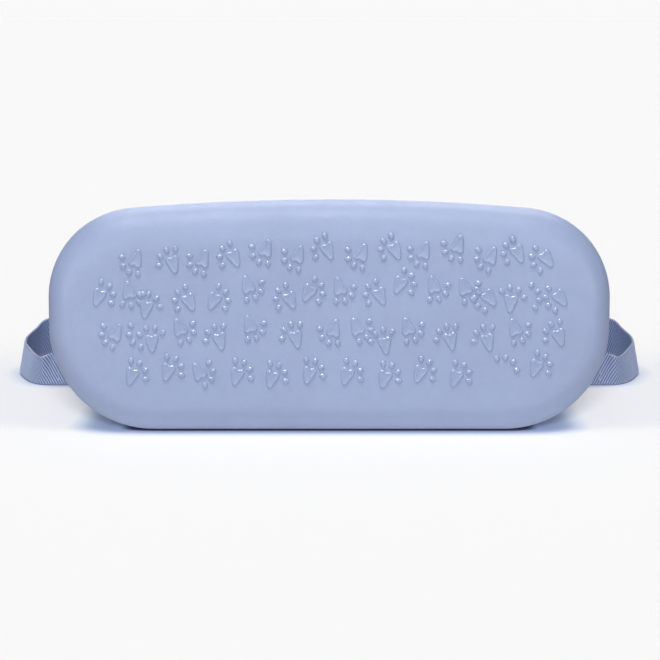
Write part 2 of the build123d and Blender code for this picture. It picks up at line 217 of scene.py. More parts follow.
class Surface:
    """A node material with one Principled shader, built up from small parts."""

    def __init__(self, name, roughness, **constants):
        self.material = bpy.data.materials.new(name)
        self.material.use_nodes = True
        self.tree = self.material.node_tree
        self.shader = self.tree.nodes["Principled BSDF"]
        self.shader.inputs["Roughness"].default_value = roughness
        for socket, value in constants.items():
            self.shader.inputs[socket.replace("_", " ")].default_value = value
        self.place = self.add("ShaderNodeTexCoord").outputs["Object"]

    def add(self, kind, **settings):
        node = self.tree.nodes.new(kind)
        for key, value in settings.items():
            setattr(node, key, value)
        return node

    def join(self, source, target):
        self.tree.links.new(source, target)

    def mapped(self, scale, turn=(0, 0, 0), source=None):
        node = self.add("ShaderNodeMapping")
        node.inputs["Scale"].default_value = scale
        node.inputs["Rotation"].default_value = [math.radians(angle) for angle in turn]
        self.join(source or self.place, node.inputs["Vector"])
        return node.outputs["Vector"]

    def noise(self, scale, detail=4.0, rough=0.55, source=None, distortion=0.0):
        node = self.add("ShaderNodeTexNoise")
        node.inputs["Scale"].default_value = scale
        node.inputs["Detail"].default_value = detail
        node.inputs["Roughness"].default_value = rough
        node.inputs["Distortion"].default_value = distortion
        self.join(source or self.place, node.inputs["Vector"])
        return node.outputs["Fac"]

    def spread(self, value, low, high, start=0.3, stop=0.7):
        node = self.add("ShaderNodeMapRange")
        node.inputs["From Min"].default_value = start
        node.inputs["From Max"].default_value = stop
        node.inputs["To Min"].default_value = low
        node.inputs["To Max"].default_value = high
        self.join(value, node.inputs["Value"])
        return node.outputs["Result"]

    def colours(self, value, stops):
        node = self.add("ShaderNodeValToRGB")
        ramp = node.color_ramp
        ramp.elements[0].position, ramp.elements[0].color = stops[0]
        ramp.elements[1].position, ramp.elements[1].color = stops[-1]
        for position, colour in stops[1:-1]:
            ramp.elements.new(position).color = colour
        self.join(value, node.inputs["Fac"])
        return node.outputs["Color"]

    def sum(self, first, second, second_share):
        node = self.add("ShaderNodeMath", operation="MULTIPLY_ADD")
        self.join(second, node.inputs[0])
        node.inputs[1].default_value = second_share
        self.join(first, node.inputs[2])
        return node.outputs[0]

    def bump(self, height, distance, strength=1.0, after=None):
        node = self.add("ShaderNodeBump")
        node.inputs["Strength"].default_value = strength
        node.inputs["Distance"].default_value = distance
        self.join(height, node.inputs["Height"])
        if after is not None:
            self.join(after, node.inputs["Normal"])
        self.join(node.outputs["Normal"], self.shader.inputs["Normal"])
        return node.outputs["Normal"]

    def colour(self, source):
        self.join(source, self.shader.inputs["Base Color"])

    def roughness(self, source):
        self.join(source, self.shader.inputs["Roughness"])


def shades(colour, spread):
    """A darker and a lighter tone of a colour."""
    dark = tuple(channel * (1 - spread) for channel in colour[:3]) + (1.0,)
    light = tuple(channel * (1 + spread) for channel in colour[:3]) + (1.0,)
    return dark, light


def soft_silicone(name, colour, grain=1.0, roughness=0.46):
    """Matte moulded silicone: faint clouding, fine skin grain and a shallow leathery swell."""
    made = Surface(name, roughness, Specular_IOR_Level=0.5)
    dark, light = shades(colour, 0.045)
    cloud = made.sum(made.noise(38, 5, 0.6), made.noise(210, 3, 0.6), 0.5)
    made.colour(made.colours(cloud, [(0.5, dark), (1.0, light)]))
    made.roughness(made.spread(made.noise(160, 3), roughness - 0.05, roughness + 0.06))
    swell = made.noise(130, 3, 0.5, distortion=0.5)
    fine = made.noise(1400, 2, 0.5)
    made.bump(made.sum(swell, fine, 0.22), 0.00032 * grain, 0.6)
    return made.material


def moulded_plastic(name, colour, roughness=0.38):
    """Hard satin plastic with a fine spark-eroded texture and slight wear."""
    made = Surface(name, roughness, Specular_IOR_Level=0.5)
    dark, light = shades(colour, 0.05)
    made.colour(made.colours(made.noise(55, 4), [(0.35, dark), (0.65, light)]))
    made.roughness(made.spread(made.noise(420, 3), roughness - 0.06, roughness + 0.1))
    made.bump(made.noise(2600, 2), 0.00006, 0.5)
    return made.material


def brushed_steel(name, along=(1, 1, 1)):
    made = Surface(name, 0.3, Metallic=1.0)
    streaks = made.noise(900, 3, 0.6, source=made.mapped(along))
    made.colour(made.colours(streaks, [(0.3, (0.52, 0.53, 0.55, 1)), (0.7, (0.68, 0.69, 0.71, 1))]))
    made.roughness(made.spread(streaks, 0.22, 0.42))
    made.bump(streaks, 0.00002, 0.4)
    return made.material


BLUE = linear(156, 169, 201)
DEEP_BLUE = linear(112, 128, 172)
PALE = linear(222, 228, 240)

silicone = soft_silicone("cup_silicone", BLUE)
print_silicone = soft_silicone("print_silicone", BLUE, 0.4, roughness=0.23)
collar_plastic = moulded_plastic("collar_plastic", DEEP_BLUE)
guard_plastic = moulded_plastic("guard_plastic", DEEP_BLUE, 0.34)
liner_plastic = moulded_plastic("liner_plastic", PALE, 0.42)
bristle_silicone = soft_silicone("bristle_silicone", linear(186, 199, 230), 0.6)
membrane_silicone = soft_silicone("membrane_silicone", linear(178, 191, 224), 0.8)
seal_silicone = soft_silicone("seal_silicone", linear(226, 231, 242), 0.6)
band_steel = brushed_steel("band_steel", (0.15, 4, 4))
screw_steel = brushed_steel("screw_steel")


# ------------------------------------------------------------------ cup skin
def cup_skin():
    """The moulded body as one skin: base, rounded edge, tapering wall, rim and cavity."""
    fine = 2
    bm = bmesh.new()
    full = section(BASE_Y + EDGE_DEPTH, 0, fine)
    flat = outline(BASE_WIDTH, BASE_HEIGHT, EDGE_ROUND, BASE_LOWER_CORNER, BASE_UPPER_CORNER,
                   top_inset=TOP_EDGE_ROUND, fine=fine)
    inner_flat = outline(BASE_WIDTH, BASE_HEIGHT, EDGE_ROUND + 1.5, BASE_LOWER_CORNER,
                         BASE_UPPER_CORNER, top_inset=TOP_EDGE_ROUND + 1.5, fine=fine)
    rings = [add_ring(bm, inner_flat, BASE_Y)]
    bm.faces.new(rings[0])
    edge_steps = 14
    for step in range(edge_steps + 1):
        angle = math.pi / 2 * step / edge_steps
        out, back = math.sin(angle), 1 - math.cos(angle)
        points = [(a[0] + (b[0] - a[0]) * out, a[1] + (b[1] - a[1]) * out)
                  for a, b in zip(flat, full)]
        rings.append(add_ring(bm, points, BASE_Y + EDGE_DEPTH * back))
    wall = [(y, 0.0) for y in (-38, -20, -2, 16, 30, 35.6)]
    groove = [(36.0, 0.25), (36.05, 1.0), (41.95, 1.0), (42.0, 0.25), (42.4, 0.0)]
    rim = [(52.0, 0.0), (60.8, 0.0), (61.6, 0.25), (61.98, 0.8), (61.98, 2.6)]
    cavity = [(61.5, CUP_WALL), (30.0, CUP_WALL), (0.0, CUP_WALL), (-30.0, CUP_WALL),
              (-52.0, CUP_WALL), (-56.5, CUP_WALL + 2.2), (BASE_Y + CUP_FLOOR, CUP_WALL + 7.0)]
    for y, inset in wall + groove + rim + cavity:
        rings.append(add_ring(bm, section(y, inset, fine), y))
    bridge(bm, rings)
    bm.faces.new(rings[-1])
    return finish_mesh(bm, "cup_skin", silicone, "cup", turn_out=True)


skin = cup_skin()
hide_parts("cup_shell")

# ------------------------------------------------------------------ paw prints on the base
PAD_WIDTH, PAD_LENGTH = 5.2, 7.0
PAD_LEAN = 0.35
TOE_WIDTH, TOE_LENGTH = 2.4, 2.9
TOE_REACH = 5.1
TOE_ANGLES = (-55.0, -18.0, 18.0, 55.0)

# Each print: place across, height, which way the pad's point lies ("U", "D", or "." for
# toes alone), and the way its toes point, in degrees.
PRINT_ROWS = (
    ((-69.4, 63.0, "U", 223), (-56.1, 61.9, "D", 134), (-45.3, 63.0, "U", 218),
     (-34.2, 64.1, "D", 161), (-22.7, 66.7, "U", 223), (-11.2, 64.5, "U", 217),
     (-0.5, 66.7, "D", 157), (11.7, 65.2, "U", 218), (23.6, 66.7, "D", 161),
     (34.0, 65.9, "U", 222), (46.2, 68.1, "U", 225), (58.0, 64.1, "U", 206),
     (67.7, 65.6, "D", 166), (77.8, 63.8, "D", 192)),
    ((-82.8, 50.0, "D", 25), (-72.0, 51.5, "U", 297), (-65.9, 45.7, "D", 61),
     (-50.4, 48.2, "D", 160), (-41.4, 48.6, "D", 16), (-29.2, 53.6, "U", 320),
     (-14.1, 48.9, "D", 162), (-7.3, 51.5, "D", 10), (3.8, 52.9, "U", 310),
     (18.2, 50.4, "D", 162), (25.4, 54.4, "D", 17), (37.6, 53.6, "U", 309),
     (48.8, 52.9, "U", 324), (57.4, 49.6, "D", 200), (65.3, 47.8, "D", 75),
     (70.5, 49.3, ".", 10), (82.9, 49.6, "D", 198)),
    ((-76.9, 36.3, "U", 202), (-67.0, 36.6, ".", 205), (-63.9, 33.4, "D", 95),
     (-53.8, 38.1, "U", 328), (-39.4, 34.1, "D", 130), (-28.6, 39.2, "U", 316),
     (-12.0, 34.8, "D", 128), (1.7, 37.7, "U", 231), (10.0, 38.4, "U", 335),
     (20.1, 32.6, "D", 115), (28.4, 38.4, "U", 319), (43.8, 34.1, "D", 125),
     (57.2, 33.7, "D", 127), (66.9, 38.1, "U", 321), (82.8, 35.5, "D", 142)),
    ((-71.2, 21.3, "D", 38), (-58.2, 22.8, "D", 38), (-47.0, 22.1, "U", 350),
     (-33.3, 21.3, "D", 42), (-20.7, 20.3, "D", 42), (-7.3, 21.7, "D", 46),
     (6.4, 21.3, "D", 37), (20.1, 20.3, "D", 42), (32.7, 22.1, "D", 29),
     (45.7, 20.6, "D", 37), (62.6, 22.6, ".", 60), (74.6, 24.2, "D", 30)),
)

# The emboss from its foot to its middle: how far in from the edge, and how high.
PAD_EMBOSS = ((0.0, -0.10), (0.12, 0.08), (0.34, 0.33), (0.58, 0.54), (0.80, 0.60),
              (1.05, 0.54), (1.35, 0.48))
TOE_EMBOSS = ((0.0, -0.10), (0.12, 0.08), (0.34, 0.36), (0.58, 0.58), (0.82, 0.70), (1.0, 0.73))


def smooth_span(a, b, c, d, steps):
    """Points on the smooth line from b, up to but not at c, with a before it and d after it."""
    out = []
    for step in range(steps):
        t = step / steps
        out.append(0.5 * ((2 * b) + (c - a) * t + (2 * a - 5 * b + 4 * c - d) * t ** 2
                          + (3 * b - a - 3 * c + d) * t ** 3))
    return out


def smooth_loop(points, steps):
    """A smooth closed line through the points."""
    out = []
    count = len(points)
    for i in range(count):
        out += smooth_span(*(Vector(points[(i + k) % count]) for k in (-1, 0, 1, 2)), steps)
    return out


def inward(points, distance):
    """The closed line drawn in towards its middle."""
    middle = sum(points, Vector((0, 0))) / len(points)
    return [here + (middle - here).normalized() * distance for here in points]


def emboss(bm, points, profile, x, z, turn):
    """A soft raised shape on the base whose +Y points the given way."""
    spin = Matrix.Rotation(math.radians(turn - 90), 2)
    rows = []
    for distance, height in profile:
        placed = [spin @ point for point in inward(points, distance)]
        rows.append([bm.verts.new((x + p.x, BASE_Y - height, z + p.y)) for p in placed])
    bridge(bm, rows)
    bm.faces.new(rows[-1])


def paw_prints():
    bm = bmesh.new()
    half, wide = PAD_WIDTH / 2, PAD_LENGTH * 0.4
    pad = smooth_loop([(0, wide - 0.45), (-half * 0.60, wide), (-half, wide - 0.95),
                       (-half * 0.86, wide - 3.0), (-half * 0.58, wide - 5.2),
                       (-half * 0.30, wide - 6.6), (0, wide - PAD_LENGTH),
                       (half * 0.30, wide - 6.6), (half * 0.58, wide - 5.2),
                       (half * 0.86, wide - 3.0), (half, wide - 0.95),
                       (half * 0.60, wide)], 3)
    if sum(a.x * b.y - a.y * b.x for a, b in zip(pad, pad[1:])) < 0:
        pad.reverse()
    toe_steps = 14
    for row in PRINT_ROWS:
        for x, z, kind, toes_way in row:
            if kind != ".":
                wide_way = 90 if kind == "D" else 270
                lean = ((toes_way - wide_way + 180) % 360 - 180) * PAD_LEAN
                emboss(bm, pad, PAD_EMBOSS, x, z, wide_way + lean)
            for angle in TOE_ANGLES:
                toe = [Vector((TOE_WIDTH / 2 * math.cos(2 * math.pi * i / toe_steps),
                               TOE_REACH + TOE_LENGTH / 2 * math.sin(2 * math.pi * i / toe_steps)))
                       for i in range(toe_steps)]
                emboss(bm, toe, TOE_EMBOSS, x, z, toes_way + angle)
    bm.normal_update()
    if sum(face.normal.y for face in bm.faces) > 0:
        bmesh.ops.reverse_faces(bm, faces=bm.faces)
    return finish_mesh(bm, "paw_prints", print_silicone, "cup")


prints = paw_prints()
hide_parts("paw_print_relief")

# ------------------------------------------------------------------ carrying loops
BAR_Y = 53.0
WEBBING, WEBBING_WIDTH = 1.1, 12.6
SELVEDGE, SELVEDGE_ROUND, SELVEDGE_SINK = 0.9, 0.55, 0.10
RIB_PITCH = 1.05
RIB_LEAN = -0.55
RIB_DEPTH = 0.30
YARN_PITCH = 0.62
STRAP_WAVE = 0.12
POINTS_PER_STATION = 24

# Stations around the right-hand loop: out, depth and height of the strap's lower edge, then
# of its upper edge. The near side sags on to the floor and leans, the far side is lifted.
LOOP_STATIONS = (
    ((98.0, 51.0, 1.4), (98.0, 51.0, 13.9)),
    ((102.0, 53.2, 1.0), (102.0, 53.2, 13.9)),
    ((108.2, 54.9, 0.5), (108.2, 54.9, 13.9)),
    ((113.2, 55.4, 0.3), (112.8, 54.6, 13.5)),
    ((117.6, 56.8, 0.2), (116.6, 53.2, 12.0)),
    ((122.6, 63.2, 0.2), (120.2, 60.6, 12.2)),
    ((126.8, 74.6, 0.25), (124.2, 76.0, 12.5)),
    ((130.1, 89.0, 0.5), (128.0, 92.0, 13.0)),
    ((129.8, 100.5, 1.4), (128.4, 102.0, 14.3)),
    ((126.8, 107.2, 2.6), (125.8, 108.8, 16.6)),
    ((122.0, 112.0, 4.6), (122.0, 115.0, 19.8)),
    ((114.0, 114.6, 6.2), (114.0, 117.0, 20.6)),
    ((107.6, 110.5, 6.2), (107.4, 112.0, 19.1)),
    ((104.6, 98.0, 4.4), (104.4, 98.2, 16.9)),
    ((102.4, 80.0, 2.2), (102.2, 80.0, 14.7)),
    ((100.4, 63.0, 1.4), (100.3, 63.0, 13.9)),
    ((99.4, 54.6, 1.4), (99.4, 54.6, 13.9)),
)


def spline(points, per_span):
    """A smooth open line through 3-D points."""
    points = [Vector(point) for point in points]
    points = [2 * points[0] - points[1]] + points + [2 * points[-1] - points[-2]]
    out = []
    for i in range(1, len(points) - 2):
        out += smooth_span(*points[i - 1:i + 3], per_span)
    out.append(points[-2])
    return out


def evenly(line, spacing):
    """Evenly spaced stops on the line: (point before it, share of the way on, length so far)."""
    lengths = [0.0]
    for a, b in zip(line, line[1:]):
        lengths.append(lengths[-1] + (b - a).length)
    stops = int(lengths[-1] / spacing)
    out, i = [], 0
    for stop in range(stops + 1):
        want = lengths[-1] * stop / stops
        while i < len(line) - 2 and lengths[i + 1] < want:
            i += 1
        out.append((i, (want - lengths[i]) / (lengths[i + 1] - lengths[i]), want))
    return out


def twill(along, across):
    """Height of the ribbed weave: leaning ribs, each broken up by its crossing yarns."""
    turn = (along + across * RIB_LEAN) / RIB_PITCH
    rib = 0.5 + 0.5 * math.cos(2 * math.pi * turn)
    yarn = 0.5 + 0.5 * math.cos(2 * math.pi * (across / YARN_PITCH + 0.5 * math.floor(turn + 0.5)))
    return RIB_DEPTH * (rib ** 0.7 * (0.78 + 0.22 * yarn) - 1.0)


def strap_edges():
    """The strap's lower and upper edge as smooth lines."""
    return [spline([station[edge] for station in LOOP_STATIONS], POINTS_PER_STATION)
            for edge in (0, 1)]


def strap(side):
    """Twill webbing on edge around a loop, with plain rounded selvedges."""
    lower, upper = strap_edges()
    middle = [(a + b) / 2 for a, b in zip(lower, upper)]
    across_steps = 34
    bm = bmesh.new()
    weave_marks_and_shaded_face = bm.verts.layers.float_vector.new("weave")
    rows = []
    for i, share, along in evenly(middle, RIB_PITCH / 6):
        low = lower[i].lerp(lower[i + 1], share)
        high = upper[i].lerp(upper[i + 1], share)
        ahead = (middle[i + 1] - middle[i]).normalized()
        out = ahead.cross((high - low).normalized()).normalized()
        wave = STRAP_WAVE * noise.noise(Vector((along * 0.12, side * 7.0, 0)))
        row = []
        for face in (1, -1):
            for step in range(across_steps + 1):
                step = step if face > 0 else across_steps - step
                share_up = step / across_steps
                across = share_up * WEBBING_WIDTH
                from_edge = min(share_up, 1 - share_up) * WEBBING_WIDTH
                rounding = 1 - min(from_edge / SELVEDGE_ROUND, 1.0)
                swell = min(1.0, math.sqrt(max(1 - rounding ** 2, 0.0)))
                weave = twill(along, across) if from_edge > SELVEDGE else -SELVEDGE_SINK
                bow = wave * math.cos(math.pi * (share_up - 0.5))
                offset = face * (WEBBING / 2 * max(swell, 0.12) + weave * swell) + bow
                at = low.lerp(high, share_up) + out * offset
                vert = bm.verts.new((side * at.x, at.y, at.z))
                # The third mark is -1 on the inner face away from its edges and 1 elsewhere; the
                # yarn material paints shade where it is -1.
                vert[weave_marks_and_shaded_face] = (along, across, face if from_edge > 0.7 else 1)
                row.append(vert)
        rows.append(row)
    bridge(bm, rows)
    for row in (rows[0], rows[-1]):
        bm.faces.new(row)
    return bm


def webbing_material():
    """Matte polyester yarn with fibres along each yarn: painted shade in the furrows between ribs,
    a painted highlight on the rib crests, and painted shade on the strap's inner face.
    """
    made = Surface("webbing_yarn", 0.78, Specular_IOR_Level=0.25, Sheen_Weight=0.25,
                   Sheen_Roughness=0.5)
    spot = made.add("ShaderNodeAttribute", attribute_name="weave").outputs["Vector"]
    split = made.add("ShaderNodeSeparateXYZ")
    made.join(spot, split.inputs[0])
    turn = made.sum(split.outputs["X"], split.outputs["Y"], RIB_LEAN)
    wave = made.add("ShaderNodeMath", operation="MULTIPLY")
    made.join(turn, wave.inputs[0])
    wave.inputs[1].default_value = 2 * math.pi / RIB_PITCH
    ribs = made.add("ShaderNodeMath", operation="COSINE")
    made.join(wave.outputs[0], ribs.inputs[0])
    fibres = made.noise(5.0, 3, 0.6, source=made.mapped((0.5, 1.6, 1), source=spot))
    # Painted shade and painted highlight: the rib wave colours the furrows dark and the rib crests
    # light, as the light falls on them; the fibres add real tone.
    tone = made.sum(ribs.outputs[0], fibres, 1.1)
    dark, light = linear(84, 97, 132), linear(196, 208, 238)
    weave = made.colours(made.spread(tone, 0.0, 1.0, -0.75, 1.9),
                         [(0.0, dark), (0.55, linear(146, 160, 197)), (1.0, light)])
    # Painted shade: the strap's inner face, away from its edges, is darkened to about two thirds,
    # as it lies in shade.
    inner = made.colours(made.spread(split.outputs["Z"], 0.0, 1.0, -0.1, 0.1),
                         [(0.0, (0.62, 0.66, 0.74, 1)), (1.0, (1, 1, 1, 1))])
    depth = made.add("ShaderNodeMix", data_type="RGBA", blend_type="MULTIPLY")
    depth.inputs["Factor"].default_value = 1.0
    made.join(weave, depth.inputs["A"])
    made.join(inner, depth.inputs["B"])
    made.colour(depth.outputs["Result"])
    made.bump(made.noise(9.0, 2, 0.6, source=made.mapped((0.6, 2.0, 1), source=spot)),
              0.00008, 0.6)
    return made.material


STITCH_ROWS = (104.5, 107.5, 110.5)
STITCH_HALF = (0.32, 0.24, 0.95)


def sewn_rows(side):
    """Three rows of stitches across the strap beside its eye, sunk into the weave."""
    lower, upper = strap_edges()
    near_eye = range(60)
    bm = bmesh.new()
    for x in STITCH_ROWS:
        i = min(near_eye, key=lambda k: abs(lower[k].x - x))
        low, high = lower[i], upper[i]
        ahead = (lower[i + 1] - low).normalized()
        up = (high - low).normalized()
        out = ahead.cross(up).normalized()
        for place in spaced(4, 0.70):
            middle = low.lerp(high, 0.5 + place) + out * (WEBBING / 2 + 0.02)
            turned = Matrix((ahead, out, up)).transposed()
            made = bmesh.ops.create_uvsphere(bm, u_segments=10, v_segments=8, radius=1.0)
            for vert in made["verts"]:
                stretched = Vector([at * half for at, half in zip(vert.co, STITCH_HALF)])
                vert.co = middle + turned @ stretched
                vert.co.x *= side
    return bm


webbing = webbing_material()
thread = moulded_plastic("sewing_thread", linear(168, 181, 216), 0.6)
for side, name in ((1, "right"), (-1, "left")):
    loop = finish_mesh(strap(side), name + "_strap", webbing, name + "_loop", turn_out=True)
    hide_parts(name + "_loop_webbing")
    sewing = finish_mesh(sewn_rows(side), name + "_stitches", thread, name + "_loop",
                         turn_out=True)
    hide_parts(name + "_loop_stitching")


# ------------------------------------------------------------------ collar, band, seal and liner
def depth_span(node):
    low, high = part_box(node)
    return low.y / MM, high.y / MM


COLLAR_START, COLLAR_TOP = depth_span("rim_collar")
SEAL_START, SEAL_STOP = depth_span("rim_seal")
LINER_START, LINER_TOP = depth_span("liner_sleeve")
GUARD_START, GUARD_TOP = depth_span("guard_frame")
RETAINER_START, RETAINER_TOP = depth_span("guard_retainer")
MEMBRANE_TOP = depth_span("guard_membrane")[1]
BAND_START, BAND_STOP = depth_span("rim_band")
# How far in from the mouth's outline each wall lies.
RING_EDGE, MEMBRANE_EDGE = 1.5, 3.0
SEAM = 0.02
BORE, LINER_OUT, LINER_IN, PLUG, GUARD_BORE = 6.0, 6.6, 8.6, 9.0, 11.0
LINER_SEAT, LINER_FLOOR = 65.3, 2.0
SEAL_GROOVE = 1.35
DRAIN_HOLES, DRAIN_PITCH, DRAIN_RADIUS, DRAIN_FROM_MIDDLE = 9, 14.0, 2.0, 20.0


def sleeve_ring(name, node, corners, radius, material, body):
    """A ring around the mouth with softly rounded edges, in place of a node."""
    piece = mouth_ring(name, rounded(corners, radius), material, body)
    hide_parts(node)
    return piece


sleeve_ring("collar", "rim_collar",
            [(3.4, COLLAR_START), (BORE, COLLAR_START), (BORE, COLLAR_TOP), (4.5, COLLAR_TOP),
             (4.5, COLLAR_TOP - SEAL_GROOVE), (2.4, COLLAR_TOP - SEAL_GROOVE), (2.4, COLLAR_TOP),
             (0.0, COLLAR_TOP), (0.0, RIM_Y + 0.05), (3.15, RIM_Y + 0.05)],
            0.45, collar_plastic, "cup")
sleeve_ring("seal", "rim_seal",
            [(2.45, SEAL_START), (4.35, SEAL_START), (4.35, SEAL_STOP), (2.45, SEAL_STOP)],
            0.8, seal_silicone, "cup")
sleeve_ring("guard_ring", "guard_frame",
            [(RING_EDGE, LINER_TOP + SEAM), (RING_EDGE, GUARD_TOP), (GUARD_BORE, GUARD_TOP),
             (GUARD_BORE, GUARD_START), (PLUG, GUARD_START), (PLUG, LINER_TOP + SEAM)],
            0.5, guard_plastic, "guard")
sleeve_ring("guard_cover", "guard_retainer",
            [(RING_EDGE, RETAINER_START + SEAM), (RING_EDGE, RETAINER_TOP),
             (GUARD_BORE, RETAINER_TOP), (GUARD_BORE, MEMBRANE_TOP + SEAM),
             (MEMBRANE_EDGE - SEAM, MEMBRANE_TOP + SEAM),
             (MEMBRANE_EDGE - SEAM, RETAINER_START + SEAM)],
            0.6, guard_plastic, "guard")


def band():
    """Flat steel band let into the wall, with rolled edges."""
    bm = bmesh.new()
    profile = rounded([(0.02, BAND_START + 0.03), (0.02, BAND_STOP - 0.03),
                       (0.98, BAND_STOP - 0.03), (0.98, BAND_START + 0.03)], 0.3)
    rings = [add_ring(bm, section(y, inset), y) for inset, y in profile]
    bridge(bm, rings, closed=True)
    return finish_mesh(bm, "clamp_band", band_steel, "cup", turn_out=True)


steel = band()
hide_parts("rim_band")


def liner():
    """Thin sleeve with a flange, a closed floor and a row of drain holes each side."""
    bm = bmesh.new()
    outer = [(LINER_OUT + 3 * (1 - math.cos(a)), LINER_START + 3 * (1 - math.sin(a)))
             for a in (0.0, 0.4, 0.8, 1.2, math.pi / 2)]
    inner = [(LINER_IN + 2 * (1 - math.cos(a)), LINER_START + LINER_FLOOR + 2 * (1 - math.sin(a)))
             for a in (0.0, 0.4, 0.8, 1.2, math.pi / 2)]
    wall = rounded([(LINER_OUT, LINER_START + 20), (LINER_OUT, LINER_SEAT),
                    (RING_EDGE, LINER_SEAT), (RING_EDGE, LINER_TOP), (LINER_IN, LINER_TOP),
                    (LINER_IN, LINER_START + 20)], 0.5)
    line = outer[::-1] + wall[4:-4] + inner
    rings = [add_ring(bm, mouth(inset), y) for inset, y in line]
    bridge(bm, rings)
    under, over = rings[0], rings[-1]
    holes_under, holes_over = [], []
    for place in range(DRAIN_HOLES):
        x = (place - DRAIN_HOLES // 2) * DRAIN_PITCH
        for z in (MOUTH_MIDDLE - DRAIN_FROM_MIDDLE, MOUTH_MIDDLE + DRAIN_FROM_MIDDLE):
            circle = [(x + DRAIN_RADIUS * math.cos(2 * math.pi * i / 20),
                       z + DRAIN_RADIUS * math.sin(2 * math.pi * i / 20)) for i in range(20)]
            loops = [add_ring(bm, circle, y) for y in (LINER_START, LINER_START + LINER_FLOOR)]
            bridge(bm, loops)
            holes_under += ring_edges(bm, loops[0])
            holes_over += ring_edges(bm, loops[1])
    for edges in (ring_edges(bm, under) + holes_under, ring_edges(bm, over) + holes_over):
        bmesh.ops.triangle_fill(bm, use_beauty=True, edges=edges)
    return finish_mesh(bm, "liner", liner_plastic, "liner", turn_out=True)


sleeve = liner()
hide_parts("liner_sleeve")


# ------------------------------------------------------------------ bristle pads
BRISTLE_SIDES = 8
BRISTLE_COLUMNS, BRISTLE_ROWS, FLOOR_ROWS = 13, 8, 4
PAD_INSET, PAD_BACKING, FLOOR_BACKING = 8.75, 1.35, 1.5
PAD_EDGE = 4.0
ROOT_SINK = 0.05
BRISTLE_PROFILE = ((0.0, 1.35), (0.45, 1.02), (1.2, 0.92), (6.2, 0.66), (7.5, 0.56), (7.9, 0.30))


def bristle(bm, root, way, rng):
    """One tapered bristle with a filleted root and a rounded tip, leaning very slightly."""
    way = Vector(way)
    side = way.orthogonal().normalized()
    other = way.cross(side)
    lean = side * rng.uniform(-0.05, 0.05) + other * rng.uniform(-0.05, 0.05)
    rows = []
    for height, radius in BRISTLE_PROFILE:
        middle = Vector(root) + way * height + lean * height * height / 8
        rows.append([bm.verts.new(middle + side * radius * math.cos(2 * math.pi * i / BRISTLE_SIDES)
                                  + other * radius * math.sin(2 * math.pi * i / BRISTLE_SIDES))
                     for i in range(BRISTLE_SIDES)])
    bridge(bm, rows)
    bm.faces.new(rows[-1])


def backing(bm, half_width, level, spans, steps=40):
    """A thin plate with rounded edges; level(x) is how far it is bent at each place across."""
    profile = rounded(spans, 0.5)
    rows = []
    for step in range(steps + 1):
        x = -half_width + 2 * half_width * step / steps
        rows.append([bm.verts.new((x, y, z + level(x))) for y, z in profile])
    bridge(bm, rows)
    bm.faces.new(rows[0])
    bm.faces.new(rows[-1])


def crown_drop(inset):
    """How far the arched top has fallen at each place across, as a function of the place."""
    return lambda x: math.sqrt((CROWN_RADIUS - inset) ** 2 - x * x) - (CROWN_RADIUS - inset)


for node, seed in (("bristle_pad_lower", 5), ("bristle_pad_upper", 6), ("bristle_pad_floor", 7)):
    rng = random.Random(seed)
    low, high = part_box(node)
    low, high = low / MM, high / MM
    half = high.x
    bm = bmesh.new()
    if node == "bristle_pad_floor":
        face = low.y + FLOOR_BACKING
        backing(bm, half, lambda x: 0.0, [(low.y, low.z), (face, low.z),
                                          (face, high.z), (low.y, high.z)])
        for x in spaced(BRISTLE_COLUMNS, 2 * (half - PAD_EDGE)):
            for z in spaced(FLOOR_ROWS, 30 - 2 * PAD_EDGE):
                bristle(bm, (x, face - ROOT_SINK, MOUTH_MIDDLE + z), (0, 1, 0), rng)
    else:
        upper = node.endswith("upper")
        if upper:
            top, sign, bend = MOUTH_HEIGHT - PAD_INSET, -1, crown_drop(PAD_INSET)
        else:
            top, sign, bend = PAD_INSET, 1, lambda x: 0.0
        face = top + sign * PAD_BACKING
        backing(bm, half, bend, [(low.y, top), (low.y, face), (high.y, face), (high.y, top)])
        middle, reach = (low.y + high.y) / 2, high.y - low.y - 2 * PAD_EDGE
        for x in spaced(BRISTLE_COLUMNS, 2 * (half - PAD_EDGE)):
            for y in spaced(BRISTLE_ROWS, reach):
                root = (x, middle + y, face + bend(x) - sign * ROOT_SINK)
                bristle(bm, root, (0, 0, sign), rng)
    pad = finish_mesh(bm, node.replace("bristle_pad", "bristles"), bristle_silicone, "liner",
                      turn_out=True)
    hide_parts(node)


# ------------------------------------------------------------------ splash guard flaps
FLAP_REACH = 7.0
FLAP_CUTS = 9
SLIT_HALF = 0.6
SLOT_HALF, SLOT_END = 15.0, 49.0


def ray_to_outline(points, origin, way):
    """Where a ray from inside an outline leaves it."""
    best = None
    for i, a in enumerate(points):
        a, b = Vector(a), Vector(points[(i + 1) % len(points)])
        edge = b - a
        cross = way.x * edge.y - way.y * edge.x
        if abs(cross) < 1e-9:
            continue
        gap = a - origin
        far = (gap.x * edge.y - gap.y * edge.x) / cross
        along = (gap.x * way.y - gap.y * way.x) / cross
        if far > 0 and -1e-6 <= along <= 1 + 1e-6 and (best is None or far < best):
            best = far
    return origin + way * best


